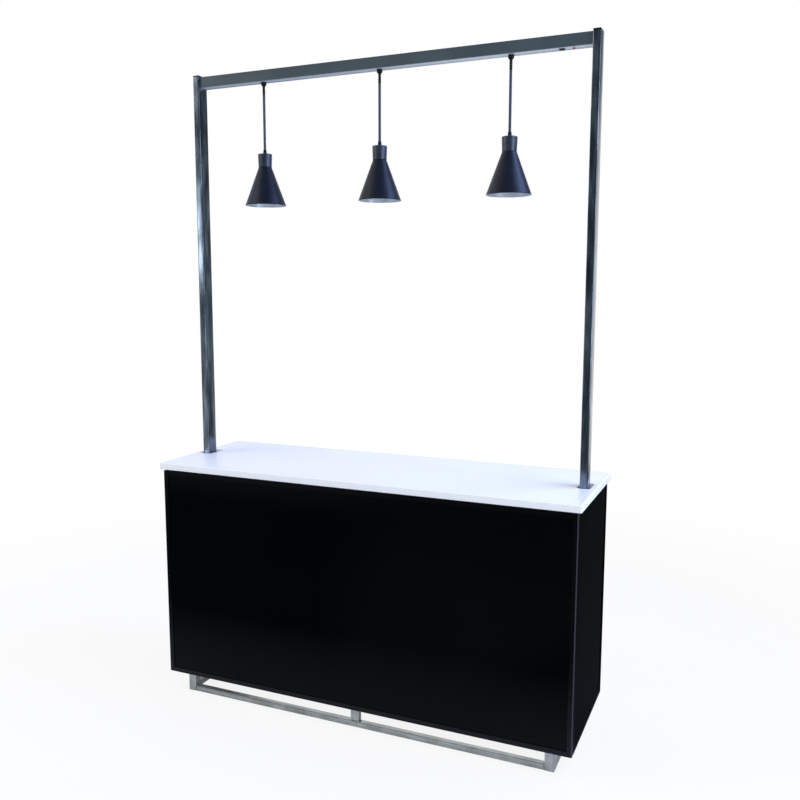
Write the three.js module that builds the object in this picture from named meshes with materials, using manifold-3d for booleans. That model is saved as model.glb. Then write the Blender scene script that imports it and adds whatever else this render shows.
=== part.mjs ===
import * as THREE from "three";
import { mergeVertices } from "three/addons/utils/BufferGeometryUtils.js";
import Module from "manifold-3d";

// A folding portable bar: a stainless frame whose two side wings fold in behind the front,
// black panels around it, a white counter on top, and a lamp gantry that lifts out.
// Millimetres, +Z up, the bar's front faces -Y, the origin is on the floor at its middle.

// Fit between neighbouring pieces
const clearance = 0.3;

// Counter slab
const counterLength = 1846;
const counterDepth = 600;
const counterTop = 1050;
const counterThickness = 28;
const counterCornerRadius = 6;
const counterEdgeRadius = 3;
const slotInnerGap = 9.5;
const slotOuterGap = 10.5;
const slotFrontGap = 4;
const slotRearGap = 42;
const slotCornerRadius = 10;

// Panels around the frame
const counterOverhang = 13;
const panelBottom = 93;
const panelShadowGap = 6;
const frontPanelThickness = 24;
const frontBorder = 20;
const sidePanelThickness = 16;
const sideBorder = 10;
const panelCornerGap = 4;
const panelLip = 3;
const panelRebate = 7;
const frontSheetThickness = 8;
const sideSheetThickness = 6;
const panelEdgeRadius = 2;
const battenWidth = 30;
const standoffWidth = 40;
const standoffFrontInset = 94;
const standoffRearInset = 122;
const standoffEndInset = 6;

// Folding stainless frame
const frameEndInset = 72;
const frameSetback = 36;
const tubeWidth = 25;
const postWidth = 38;
const tubeWall = 1.5;
const tubeCornerRadius = 2.5;
const midRailBottom = 318;

// Weld-on barrel hinges
const hingeOffset = 6;
const hingePinRadius = 3;
const knuckleLength = 32;
const hingePinReach = 27;
const hingeLugWidth = 8;
const lowerHingeHeight = 200;
const upperHingeHeight = 800;

// Gantry uprights, their saddles and the beam
const uprightStandoff = 19.5;
const uprightWidth = 30;
const uprightDepth = 60;
const uprightWall = 1.5;
const uprightCornerRadius = 3;
const uprightBottom = 300;
const gantryTop = 2733;
const capThickness = 6;
const capChamfer = 3;
const capPlugDepth = 18;
const saddleHeight = 60;
const saddleLip = 5;
const saddleSideGap = 2;
const saddleCheek = 4;
const seatThickness = 8;
const beamHeight = 46;
const beamDepth = 50;
const beamSetback = 10;
const beamWall = 2;
const beamCornerRadius = 3;

// Pendant lamps
const lampSpacing = 546;
const ballRadius = 12;
const ballSunk = 6;
const ballPlay = 0.9;
const glandRadius = 6;
const glandLength = 34;
const glandGrooves = 3;
const glandGrooveDepth = 0.9;
const cordDiameter = 11;
const cordLength = 228;
const reliefLength = 18;
const reliefTopRadius = 7;
const reliefBottomRadius = 8;
const capHeight = 56;
const capTopRadius = 30.5;
const capBottomRadius = 28.5;
const capShoulder = 5;
const shadeHeight = 162;
const shadeTopRadius = 28.5;
const shadeRimRadius = 88;
const shadeWall = 1.6;
const shadeNeckRadius = 20;
const shadeBeadRadius = 1.8;
const holderRadius = 16;
const holderLength = 30;
const bulbRadius = 30;
const bulbNeckRadius = 13;
const bulbLength = 100;

// Switch and indicator under the right end of the beam
const switchEndInset = 117.5;
const switchFlangeRadius = 12;
const switchBodyRadius = 9.5;
const switchFlangeThickness = 2.5;
const switchBodyHeight = 15;
const rockerRadius = 7.2;
const rockerBevel = 8;
const rockerProud = 2;
const rockerTilt = 7;
const indicatorEndInset = 73.5;
const indicatorRadius = 4.5;
const indicatorStemRadius = 3;
const indicatorStemLength = 9;

// Places worked out from the sizes above
const counterUnderside = counterTop - counterThickness;
const panelTop = counterUnderside - panelShadowGap;
const panelHalfLength = counterLength / 2 - counterOverhang;
const panelFront = counterOverhang - counterDepth / 2;
const panelRear = -panelFront;
const frameHalfLength = panelHalfLength - frameEndInset;
const frameFront = panelFront + frameSetback;
const frameFrontBack = frameFront + tubeWidth;
const frameRear = panelRear - frameSetback;
const frameTop = counterUnderside - clearance;
const wingInner = frameHalfLength - tubeWidth;
const wingFront = frameFrontBack + clearance;
const hingeX = wingInner - hingeOffset;
const hingeY = frameFrontBack + hingeOffset;
const knuckleRadius = hingeOffset - clearance;
const uprightInner = frameHalfLength + uprightStandoff;
const uprightTop = gantryTop - capThickness;
const beamBottom = uprightTop - beamHeight;
const beamFront = beamSetback - uprightDepth / 2;
const beamMiddle = beamFront + beamDepth / 2;
const switchPlace = uprightInner - switchEndInset;
const indicatorPlace = uprightInner - indicatorEndInset;
const ballCentre = beamBottom - ballSunk;
const glandBottom = ballCentre - ballRadius - glandLength;
const cordBottom = glandBottom - clearance - cordLength;
const capTop = cordBottom - clearance - reliefLength;
const capBottom = capTop - capHeight;
const shadeTop = capBottom - clearance;
const shadeRim = shadeTop - shadeHeight;

const wasm = await Module();
wasm.setup();

// A closed solid from any geometry, with the empty triangles on an axis left out
function solidOf(geometry) {
  const bare = geometry.clone();
  bare.deleteAttribute("normal");
  bare.deleteAttribute("uv");
  const merged = mergeVertices(bare, 1e-4);
  const corners = merged.index.array;
  const kept = [];
  for (let i = 0; i < corners.length; i += 3) {
    const [a, b, c] = [corners[i], corners[i + 1], corners[i + 2]];
    if (a !== b && b !== c && c !== a) kept.push(a, b, c);
  }
  const vertProperties = new Float32Array(merged.attributes.position.array);
  const triVerts = new Uint32Array(kept);
  return new wasm.Manifold(new wasm.Mesh({ numProp: 3, vertProperties, triVerts }));
}

function geometryOf(solid) {
  const mesh = solid.getMesh();
  const geometry = new THREE.BufferGeometry();
  geometry.setAttribute("position", new THREE.BufferAttribute(mesh.vertProperties, 3));
  geometry.setIndex(new THREE.BufferAttribute(mesh.triVerts, 1));
  geometry.computeVertexNormals();
  return geometry;
}

// A rectangle with rounded corners, centred, as an outline of points
function roundedOutline(width, height, radius, steps = 2) {
  const points = [];
  for (let corner = 0; corner < 4; corner += 1) {
    const signX = corner === 0 || corner === 3 ? 1 : -1;
    const signY = corner < 2 ? 1 : -1;
    for (let step = 0; step <= steps; step += 1) {
      const angle = (corner + step / steps) * (Math.PI / 2);
      const x = signX * (width / 2 - radius) + radius * Math.cos(angle);
      const y = signY * (height / 2 - radius) + radius * Math.sin(angle);
      points.push(new THREE.Vector2(x, y));
    }
  }
  return points;
}

// A rectangular tube, or a bar when the wall is zero, filling the box from low to high
function tube(axis, low, high, wall, radius) {
  const size = [0, 1, 2].map((i) => high[i] - low[i]);
  const middle = [0, 1, 2].map((i) => (high[i] + low[i]) / 2);
  const section = { x: [size[2], size[1]], y: [size[0], size[2]], z: [size[0], size[1]] }[axis];
  const length = size["xyz".indexOf(axis)];
  const shape = new THREE.Shape(roundedOutline(section[0], section[1], radius));
  if (wall > 0) {
    const boreRadius = Math.max(radius - wall, 0.5);
    const bore = roundedOutline(section[0] - 2 * wall, section[1] - 2 * wall, boreRadius);
    shape.holes.push(new THREE.Path(bore));
  }
  const geometry = new THREE.ExtrudeGeometry(shape, { depth: length, bevelEnabled: false });
  geometry.translate(0, 0, -length / 2);
  if (axis === "x") geometry.rotateY(Math.PI / 2);
  if (axis === "y") geometry.rotateX(-Math.PI / 2);
  geometry.translate(...middle);
  return solidOf(geometry);
}

function block(low, high) {
  const size = [0, 1, 2].map((i) => high[i] - low[i]);
  const geometry = new THREE.BoxGeometry(...size);
  geometry.translate(...[0, 1, 2].map((i) => (high[i] + low[i]) / 2));
  return solidOf(geometry);
}

// A turned piece: the profile runs up its outside, as [radius, height] pairs
function turned(profile, segments) {
  const points = profile.map(([radius, height]) => new THREE.Vector2(radius, height));
  const geometry = new THREE.LatheGeometry(points, segments);
  geometry.rotateX(Math.PI / 2);
  return solidOf(geometry);
}

function rod(x, y, bottom, top, radius, segments = 18) {
  return turned([[0, bottom], [radius, bottom], [radius, top], [0, top]], segments).translate([x, y, 0]);
}

// Points along an arc of a profile, from one angle to another in degrees
function arc(centreRadius, centreHeight, radius, from, to, steps) {
  const points = [];
  for (let step = 0; step <= steps; step += 1) {
    const angle = THREE.MathUtils.degToRad(from + ((to - from) * step) / steps);
    const across = Math.max(centreRadius + radius * Math.cos(angle), 0);
    points.push([Math.abs(across) < 1e-6 ? 0 : across, centreHeight + radius * Math.sin(angle)]);
  }
  return points;
}

function mirrored(solid, side) {
  return side < 0 ? solid.mirror([1, 0, 0]) : solid;
}

function finish(colour, roughness, metalness) {
  return () => new THREE.MeshStandardMaterial({ color: colour, roughness, metalness });
}

const satinSteel = finish("#9da2a3", 0.35, 1);
const polishedSteel = finish("#aeb7bb", 0.12, 1);
const blackTrim = finish("#1d2124", 0.4, 0);
const glossBlack = finish("#08090b", 0.08, 0);
const whiteLaminate = finish("#eef3fa", 0.35, 0);
const slatePaint = finish("#4b575f", 0.4, 0.2);
const blackPlastic = finish("#0f1012", 0.5, 0);
const cordBlack = finish("#121316", 0.7, 0);
const navyPaint = finish("#232c3f", 0.55, 0.1);
const opalGlass = finish("#f4f2ea", 0.3, 0);
const redLens = finish("#c0202a", 0.2, 0);

const bar = new THREE.Group();
bar.name = "folding_bar";

function add(group, name, solid, material) {
  const mesh = new THREE.Mesh(geometryOf(solid), material());
  mesh.name = name;
  group.add(mesh);
}

function section(name) {
  const group = new THREE.Group();
  group.name = name;
  bar.add(group);
  return group;
}

const sides = [["left", -1], ["right", 1]];

// Front frame: two end posts and a middle post between two long rails
function frameTube(axis, low, high) {
  return tube(axis, low, high, tubeWall, tubeCornerRadius);
}

const frontFrame = section("front_frame");
const railHalf = frameHalfLength - postWidth - clearance;
const lowRail = frameTube("x", [-railHalf, frameFront, 0], [railHalf, frameFrontBack, tubeWidth]);
const highRail = lowRail.translate([0, 0, frameTop - tubeWidth]);
const midPostLow = [-postWidth / 2, frameFront, tubeWidth + clearance];
const midPostHigh = [postWidth / 2, frameFrontBack, frameTop - tubeWidth - clearance];
add(frontFrame, "front_bottom_rail", lowRail, satinSteel);
add(frontFrame, "front_top_rail", highRail, satinSteel);
add(frontFrame, "front_mid_post", frameTube("z", midPostLow, midPostHigh), satinSteel);

// Each barrel hinge: the front post carries the lower knuckle with its pin, the wing the upper one
function lowerKnuckle(height) {
  const barrel = rod(hingeX, hingeY, height - knuckleLength, height, knuckleRadius);
  const pin = rod(hingeX, hingeY, height - 1, height + hingePinReach, hingePinRadius);
  const lugLow = [hingeX - hingeLugWidth / 2, frameFrontBack + clearance, height - knuckleLength];
  const lugHigh = [hingeX + hingeLugWidth / 2, hingeY, height];
  return barrel.add(pin).add(block(lugLow, lugHigh));
}

function upperKnuckle(height) {
  const foot = height + clearance;
  const lugLow = [hingeX, hingeY - hingeLugWidth / 2, foot];
  const lugHigh = [wingInner + tubeWall / 2, hingeY + hingeLugWidth / 2, foot + knuckleLength];
  return rod(hingeX, hingeY, foot, foot + knuckleLength, knuckleRadius).add(block(lugLow, lugHigh));
}

function hingeBore(height) {
  const radius = hingePinRadius + clearance;
  return rod(hingeX, hingeY, height - clearance, height + 2 * knuckleLength, radius);
}

const hinges = [["lower", lowerHingeHeight], ["upper", upperHingeHeight]];

for (const [sideName, side] of sides) {
  const postLow = [frameHalfLength - postWidth, frameFront, 0];
  const postHigh = [frameHalfLength, frameFrontBack, frameTop];
  const post = frameTube("z", postLow, postHigh);
  add(frontFrame, `front_${sideName}_post`, mirrored(post, side), satinSteel);
  for (const [hingeName, height] of hinges) {
    const knuckle = mirrored(lowerKnuckle(height), side);
    add(frontFrame, `${sideName}_${hingeName}_hinge_pin`, knuckle, satinSteel);
  }
}

// Side wings: an upright frame each, with a middle rail where the gantry upright is seated
function wingPost(front) {
  return frameTube("z", [wingInner, front, 0], [frameHalfLength, front + tubeWidth, frameTop]);
}

function wingRail(bottom) {
  const low = [wingInner, wingFront + tubeWidth + clearance, bottom];
  const high = [frameHalfLength, frameRear - tubeWidth - clearance, bottom + tubeWidth];
  return frameTube("y", low, high);
}

// A moulded saddle on the wing's outer face, with two lips beside the gantry upright
function saddle(bottom, seated) {
  const inner = frameHalfLength + clearance;
  const face = uprightInner - clearance;
  const reach = uprightDepth / 2 + saddleSideGap;
  const half = reach + saddleCheek;
  const channelLow = [face, -reach, bottom - 1];
  const channelHigh = [face + 2 * saddleLip, reach, bottom + saddleHeight + 1];
  const outer = tube("z", [inner, -half, bottom], [face + saddleLip, half, bottom + saddleHeight], 0, 2);
  const body = outer.subtract(block(channelLow, channelHigh));
  if (!seated) return body;
  const seatLow = [inner, -half, bottom - seatThickness];
  const seatHigh = [uprightInner + uprightWidth + 1, half, bottom];
  return body.add(tube("z", seatLow, seatHigh, 0, 2));
}

for (const [sideName, side] of sides) {
  const wing = section(`${sideName}_wing`);
  let frontPost = wingPost(wingFront);
  for (const [, height] of hinges) {
    frontPost = frontPost.add(upperKnuckle(height)).subtract(hingeBore(height));
  }
  const piece = (name, solid, material) => {
    add(wing, `${sideName}_wing_${name}`, mirrored(solid, side), material);
  };
  piece("front_post", frontPost, satinSteel);
  piece("rear_post", wingPost(frameRear - tubeWidth), satinSteel);
  piece("bottom_rail", wingRail(0), satinSteel);
  piece("mid_rail", wingRail(midRailBottom), satinSteel);
  piece("top_rail", wingRail(frameTop - tubeWidth), satinSteel);
  piece("lower_saddle", saddle(uprightBottom - clearance, true), blackPlastic);
  piece("upper_saddle", saddle(frameTop - saddleHeight, false), blackPlastic);
}

// A framed panel lying in the XZ plane with its face at y = 0: a border with a rebated back, and a sheet
function panelFrame(width, height, thickness, border) {
  const outer = tube("y", [-width / 2, 0, 0], [width / 2, thickness, height], 0, panelEdgeRadius);
  const windowLow = [border - width / 2, -1, border];
  const windowHigh = [width / 2 - border, thickness + 1, height - border];
  const lap = border - panelRebate;
  const rebateLow = [lap - width / 2, panelLip, lap];
  const rebateHigh = [width / 2 - lap, thickness + 1, height - lap];
  return outer.subtract(block(windowLow, windowHigh)).subtract(block(rebateLow, rebateHigh));
}

function panelSheet(width, height, border, thickness) {
  const lap = border - panelRebate + clearance;
  const low = [lap - width / 2, panelLip + clearance, lap];
  const high = [width / 2 - lap, panelLip + clearance + thickness, height - lap];
  return block(low, high);
}

const panelHeight = panelTop - panelBottom;
const frontPanel = section("front_panel");
const frontPlace = [0, panelFront, panelBottom];
let frontBorderSolid = panelFrame(2 * panelHalfLength, panelHeight, frontPanelThickness, frontBorder);

// Battens on the back of the front panel rest against the three posts
const battenFace = panelLip + frontSheetThickness + 2 * clearance;
const endPostMiddle = frameHalfLength - postWidth / 2;
for (const place of [-endPostMiddle, 0, endPostMiddle]) {
  const lap = frontBorder - panelRebate - 1;
  const low = [place - battenWidth / 2, battenFace, lap];
  const high = [place + battenWidth / 2, frameSetback - clearance, panelHeight - lap];
  frontBorderSolid = frontBorderSolid.add(block(low, high));
}
const frontSheet = panelSheet(2 * panelHalfLength, panelHeight, frontBorder, frontSheetThickness);
add(frontPanel, "front_panel_border", frontBorderSolid.translate(frontPlace), blackTrim);
add(frontPanel, "front_panel_sheet", frontSheet.translate(frontPlace), glossBlack);

// Side panels stand off from the wings on two hollow bars, which leaves room for the gantry upright
const sidePanelFront = panelFront + frontPanelThickness + panelCornerGap;
const sidePanelWidth = panelRear - sidePanelFront;
const sidePanelMiddle = (panelRear + sidePanelFront) / 2;
const sideSheetBack = panelHalfLength - panelLip - clearance - sideSheetThickness;
const standoffs = [["front", sidePanelFront + standoffFrontInset], ["rear", panelRear - standoffRearInset]];

for (const [sideName, side] of sides) {
  const group = section(`${sideName}_side_panel`);
  const stand = (solid) => {
    const turnedOut = solid.rotate([0, 0, 90]).translate([panelHalfLength, sidePanelMiddle, panelBottom]);
    return mirrored(turnedOut, side);
  };
  const border = panelFrame(sidePanelWidth, panelHeight, sidePanelThickness, sideBorder);
  const sheet = panelSheet(sidePanelWidth, panelHeight, sideBorder, sideSheetThickness);
  add(group, `${sideName}_panel_border`, stand(border), blackTrim);
  add(group, `${sideName}_panel_sheet`, stand(sheet), glossBlack);
  for (const [placeName, place] of standoffs) {
    const low = [frameHalfLength + clearance, place - standoffWidth / 2, panelBottom + standoffEndInset];
    const high = [sideSheetBack - clearance, place + standoffWidth / 2, panelTop - standoffEndInset];
    const standoff = tube("z", low, high, tubeWall, tubeCornerRadius);
    add(group, `${sideName}_panel_standoff_${placeName}`, mirrored(standoff, side), blackTrim);
  }
}

// Counter slab with a slot at each end that the gantry uprights pass through
const slotLength = uprightDepth + slotFrontGap + slotRearGap;
const slotWidth = uprightWidth + slotInnerGap + slotOuterGap;
const slotX = uprightInner - slotInnerGap + slotWidth / 2;
const slotY = slotLength / 2 - uprightDepth / 2 - slotFrontGap;
const slabOutline = roundedOutline(
  counterLength - 2 * counterEdgeRadius,
  counterDepth - 2 * counterEdgeRadius,
  counterCornerRadius - counterEdgeRadius,
);
const slabShape = new THREE.Shape(slabOutline);
for (const [, side] of sides) {
  const outline = roundedOutline(
    slotWidth + 2 * counterEdgeRadius,
    slotLength + 2 * counterEdgeRadius,
    slotCornerRadius + counterEdgeRadius,
  );
  const place = new THREE.Vector2(side * slotX, slotY);
  slabShape.holes.push(new THREE.Path(outline.map((point) => point.add(place))));
}
const slabGeometry = new THREE.ExtrudeGeometry(slabShape, {
  depth: counterThickness - 2 * counterEdgeRadius,
  bevelThickness: counterEdgeRadius,
  bevelSize: counterEdgeRadius,
  bevelSegments: 2,
});
slabGeometry.translate(0, 0, counterUnderside + counterEdgeRadius);
add(section("counter"), "counter_slab", solidOf(slabGeometry), whiteLaminate);

// Gantry: two uprights with end caps and a hollow beam between them
const gantry = section("gantry");

for (const [sideName, side] of sides) {
  const low = [uprightInner, -uprightDepth / 2, uprightBottom];
  const high = [uprightInner + uprightWidth, uprightDepth / 2, uprightTop];
  const upright = tube("z", low, high, uprightWall, uprightCornerRadius);
  const lidLow = [low[0], low[1], uprightTop + clearance];
  const lidEdge = tube("z", lidLow, [high[0], high[1], gantryTop - capChamfer], 0, uprightCornerRadius);
  const crownLow = [low[0] + capChamfer, low[1] + capChamfer, uprightTop + clearance];
  const crownHigh = [high[0] - capChamfer, high[1] - capChamfer, gantryTop];
  const lid = wasm.Manifold.hull([lidEdge, tube("z", crownLow, crownHigh, 0, uprightCornerRadius)]);
  const inset = uprightWall + clearance;
  const plugLow = [low[0] + inset, low[1] + inset, uprightTop - capPlugDepth];
  const plugHigh = [high[0] - inset, high[1] - inset, gantryTop - 1];
  const plug = tube("z", plugLow, plugHigh, 0, uprightCornerRadius - uprightWall);
  add(gantry, `${sideName}_upright`, mirrored(upright, side), polishedSteel);
  add(gantry, `${sideName}_upright_cap`, mirrored(lid.add(plug), side), blackPlastic);
}

const lampPlaces = [["left", -lampSpacing], ["middle", 0], ["right", lampSpacing]];
const beamHalf = uprightInner - clearance;
const beamLow = [-beamHalf, beamFront, beamBottom];
const beamHigh = [beamHalf, beamFront + beamDepth, beamBottom + beamHeight];
let beam = tube("x", beamLow, beamHigh, beamWall, beamCornerRadius);

// A ball, turned as a half circle
function ball(radius, steps) {
  return turned(arc(0, 0, radius, -90, 90, steps), 2 * steps);
}

for (const [, place] of lampPlaces) {
  const seat = ball(ballRadius + ballPlay, 8).translate([place, beamMiddle, ballCentre]);
  beam = beam.subtract(seat);
}
for (const [place, radius] of [[switchPlace, switchBodyRadius], [indicatorPlace, indicatorStemRadius]]) {
  const hole = rod(place, beamMiddle, beamBottom - 1, beamBottom + beamWall + 1, radius + clearance, 24);
  beam = beam.subtract(hole);
}
add(gantry, "gantry_beam", beam, slatePaint);

// Round rocker switch let into the underside of the beam, and the red indicator beside it
const rockerCentre = beamBottom - clearance - switchFlangeThickness + rockerRadius - rockerProud;
const bezelTop = beamBottom - clearance;
const bezelBottom = bezelTop - switchFlangeThickness;
const bezelProfile = [
  [0, bezelBottom],
  [switchFlangeRadius - 1, bezelBottom],
  [switchFlangeRadius, bezelBottom + 1],
  [switchFlangeRadius, bezelTop],
  [switchBodyRadius, bezelTop],
  [switchBodyRadius, bezelTop + switchBodyHeight],
  [0, bezelTop + switchBodyHeight],
];
const rockerWell = ball(rockerRadius + clearance, 9).translate([0, 0, rockerCentre]);
const rockerMouth = rod(0, 0, bezelBottom - 1, rockerCentre, rockerRadius + clearance, 24);
const bezel = turned(bezelProfile, 26).subtract(rockerWell).subtract(rockerMouth);
add(gantry, "switch_bezel", bezel.translate([switchPlace, beamMiddle, 0]), blackPlastic);

const indicatorFoot = beamBottom - clearance;
const indicator = turned([
  ...arc(0, indicatorFoot - 1, indicatorRadius, -90, 0, 6),
  [indicatorRadius, indicatorFoot],
  [indicatorStemRadius, indicatorFoot],
  [indicatorStemRadius, indicatorFoot + indicatorStemLength],
  [0, indicatorFoot + indicatorStemLength],
], 24);
add(gantry, "switch_indicator", indicator.translate([indicatorPlace, beamMiddle, 0]), redLens);

// The rocker is a ball worn down to two sloping thumb faces
let rocker = ball(rockerRadius, 9);
for (const tilt of [-rockerBevel, rockerBevel]) {
  const cut = block([-50, -50, -50], [50, 50, rockerProud + clearance - rockerRadius - 0.6]);
  rocker = rocker.subtract(cut.rotate([0, tilt, 0]));
}
const rockerPlace = [switchPlace, beamMiddle, rockerCentre];
const tipped = rocker.rotate([0, rockerTilt, 0]).translate(rockerPlace);
add(section("rocker"), "switch_rocker", tipped, blackPlastic);

// Pendant lamp: a ball swivel with a grooved gland, a cord, a cap with its lamp holder, a shade and a bulb
function swivel() {
  const neck = Math.asin(glandRadius / ballRadius);
  const start = -90 + THREE.MathUtils.radToDeg(neck);
  const top = ballCentre + ballRadius * Math.sin(THREE.MathUtils.degToRad(start));
  const pitch = (top - glandBottom) / (2 * glandGrooves + 1);
  const profile = [[0, glandBottom], [glandRadius - 1, glandBottom], [glandRadius, glandBottom + 1]];
  for (let groove = 0; groove < glandGrooves; groove += 1) {
    const foot = glandBottom + pitch * (2 * groove + 1);
    profile.push([glandRadius, foot]);
    profile.push([glandRadius - glandGrooveDepth, foot + pitch * 0.2]);
    profile.push([glandRadius - glandGrooveDepth, foot + pitch * 0.8]);
    profile.push([glandRadius, foot + pitch]);
  }
  profile.push(...arc(0, ballCentre, ballRadius, start, 90, 7));
  return turned(profile, 16);
}

function lampCap() {
  const holderFoot = capBottom - holderLength;
  return turned([
    [0, holderFoot],
    [holderRadius, holderFoot],
    [holderRadius, capBottom],
    [capBottomRadius - 1, capBottom],
    [capBottomRadius, capBottom + 1],
    ...arc(capTopRadius - capShoulder, capTop - capShoulder, capShoulder, 0, 90, 3),
    [reliefBottomRadius, capTop],
    [reliefTopRadius, capTop + reliefLength],
    [0, capTop + reliefLength],
  ], 30);
}

// The spun shade: a thin cone with a rolled bead at the rim and a flat top around the lamp holder
function shade() {
  const slope = Math.atan2(shadeHeight, shadeRimRadius - shadeTopRadius);
  const across = shadeWall / Math.sin(slope);
  const rimRadius = shadeRimRadius - shadeBeadRadius;
  const beadHeight = shadeRim + shadeBeadRadius;
  const rimTop = beadHeight + shadeBeadRadius;
  const outerAt = (height) => {
    const share = (shadeTop - height) / shadeHeight;
    return shadeTopRadius + share * (shadeRimRadius - shadeTopRadius);
  };
  const crown = shadeTop - shadeWall;
  return turned([
    [shadeNeckRadius, crown],
    [outerAt(crown) - across, crown],
    [outerAt(rimTop) - across, rimTop],
    ...arc(rimRadius, beadHeight, shadeBeadRadius, 180, 360, 5),
    [outerAt(rimTop), rimTop],
    [shadeTopRadius, shadeTop - 1],
    [shadeTopRadius - 1, shadeTop],
    [shadeNeckRadius, shadeTop],
    [shadeNeckRadius, crown],
  ], 40);
}

function bulb() {
  const neckTop = capBottom - holderLength - clearance;
  const centre = neckTop - bulbLength + bulbRadius;
  const join = Math.asin(bulbNeckRadius / bulbRadius);
  const end = 90 - THREE.MathUtils.radToDeg(join);
  return turned([
    ...arc(0, centre, bulbRadius, -90, end, 8),
    [bulbNeckRadius, neckTop],
    [0, neckTop],
  ], 20);
}

for (const [placeName, place] of lampPlaces) {
  const lamp = section(`${placeName}_lamp`);
  const hang = (name, solid, material) => {
    add(lamp, `${placeName}_lamp_${name}`, solid.translate([place, beamMiddle, 0]), material);
  };
  hang("swivel", swivel(), blackPlastic);
  hang("cord", rod(0, 0, cordBottom, cordBottom + cordLength, cordDiameter / 2, 12), cordBlack);
  hang("cap", lampCap(), navyPaint);
  hang("shade", shade(), navyPaint);
  hang("bulb", bulb(), opalGlass);
}

export default bar;
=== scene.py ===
import math

import bmesh
import bpy
from mathutils import Euler, Matrix, Vector


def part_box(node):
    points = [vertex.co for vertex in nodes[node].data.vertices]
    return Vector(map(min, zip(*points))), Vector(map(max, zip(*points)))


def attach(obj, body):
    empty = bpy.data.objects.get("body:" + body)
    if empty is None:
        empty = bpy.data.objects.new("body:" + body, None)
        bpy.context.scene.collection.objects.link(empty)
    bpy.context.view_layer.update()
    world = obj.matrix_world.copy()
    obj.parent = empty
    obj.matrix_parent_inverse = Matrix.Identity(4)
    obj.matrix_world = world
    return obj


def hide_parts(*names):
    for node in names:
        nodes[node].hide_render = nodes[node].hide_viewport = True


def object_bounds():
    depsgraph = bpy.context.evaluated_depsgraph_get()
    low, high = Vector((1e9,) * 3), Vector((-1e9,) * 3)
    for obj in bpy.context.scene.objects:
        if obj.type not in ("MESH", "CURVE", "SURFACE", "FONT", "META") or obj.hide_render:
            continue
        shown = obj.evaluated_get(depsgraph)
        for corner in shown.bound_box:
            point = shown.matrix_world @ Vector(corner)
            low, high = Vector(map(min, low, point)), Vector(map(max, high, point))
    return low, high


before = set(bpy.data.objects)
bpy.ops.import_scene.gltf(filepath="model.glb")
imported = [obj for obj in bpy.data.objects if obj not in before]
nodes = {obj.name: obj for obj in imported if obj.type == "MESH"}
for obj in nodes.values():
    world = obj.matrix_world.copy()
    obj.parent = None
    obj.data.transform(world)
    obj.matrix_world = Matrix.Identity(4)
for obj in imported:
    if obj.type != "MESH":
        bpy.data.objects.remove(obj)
cad_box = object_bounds()
scene = bpy.context.scene


# Camera: stands in front of the bar, to the right of its middle, a little above head height.
# Its place, angles and focal length follow the photograph's perspective.
CAMERA_PLACE = Vector((1.4893, -3.2173, 1.8033))
CAMERA_TURN = math.radians(23.443)
CAMERA_DIP = math.radians(-7.432)
CAMERA_ROLL = math.radians(0.101)
SENSOR_WIDTH = 36.0
PHOTO_WIDTH = 800
PHOTO_FOCAL_LENGTH = 846.5

camera_data = bpy.data.cameras.new("photo_camera")
camera_data.sensor_width = SENSOR_WIDTH
camera_data.lens = SENSOR_WIDTH * PHOTO_FOCAL_LENGTH / PHOTO_WIDTH
camera = bpy.data.objects.new("photo_camera", camera_data)
scene.collection.objects.link(camera)
aim = Euler((math.pi / 2 + CAMERA_DIP, 0, CAMERA_TURN)).to_matrix() @ Matrix.Rotation(CAMERA_ROLL, 3, "Z")
camera.matrix_world = Matrix.Translation(CAMERA_PLACE) @ aim.to_4x4()
scene.camera = camera
scene.view_settings.view_transform = "Standard"


# Studio room: a white sweep behind the bar, which the camera sees as plain white. Polished metal sees
# the sweep too, and the dimmer room behind the photographer and to the right. Edges and corners of the
# sweep are parts of a unit direction.
FILL_LEVEL = 0.62
SWEEP_EDGE = 0.30
SWEEP_FADED = 0.48
CORNER_LOW = 0.10
CORNER_HIGH = 0.24
CORNER_NEAR = 0.08
CORNER_FAR = 0.16
ROOM_SIDES = "#7f8890"
ROOM_CORNER = "#6a747d"


def linear(hex_colour):
    """The linear colour of an sRGB hex value."""
    channels = [int(hex_colour[i:i + 2], 16) / 255 for i in (1, 3, 5)]
    return tuple(c / 12.92 if c <= 0.04045 else ((c + 0.055) / 1.055) ** 2.4 for c in channels) + (1.0,)


def add_node(tree, kind, sockets=None, stops=(), **settings):
    """Adds a node with its settings, its input sockets, and its (position, hex colour) stops.

    A node given for a socket stands for its first output in use."""
    made = tree.nodes.new(kind)
    for name, value in settings.items():
        setattr(made, name, value)
    for name, value in (sockets or {}).items():
        if isinstance(value, bpy.types.Node):
            value = next(output for output in value.outputs if output.enabled)
        if isinstance(value, bpy.types.NodeSocket):
            tree.links.new(value, made.inputs[name])
        else:
            made.inputs[name].default_value = value
    while stops and len(made.color_ramp.elements) < len(stops):
        made.color_ramp.elements.new(0.5)
    for i, (position, colour) in enumerate(stops):
        made.color_ramp.elements[i].position = position
        made.color_ramp.elements[i].color = linear(colour)
    return made


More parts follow.
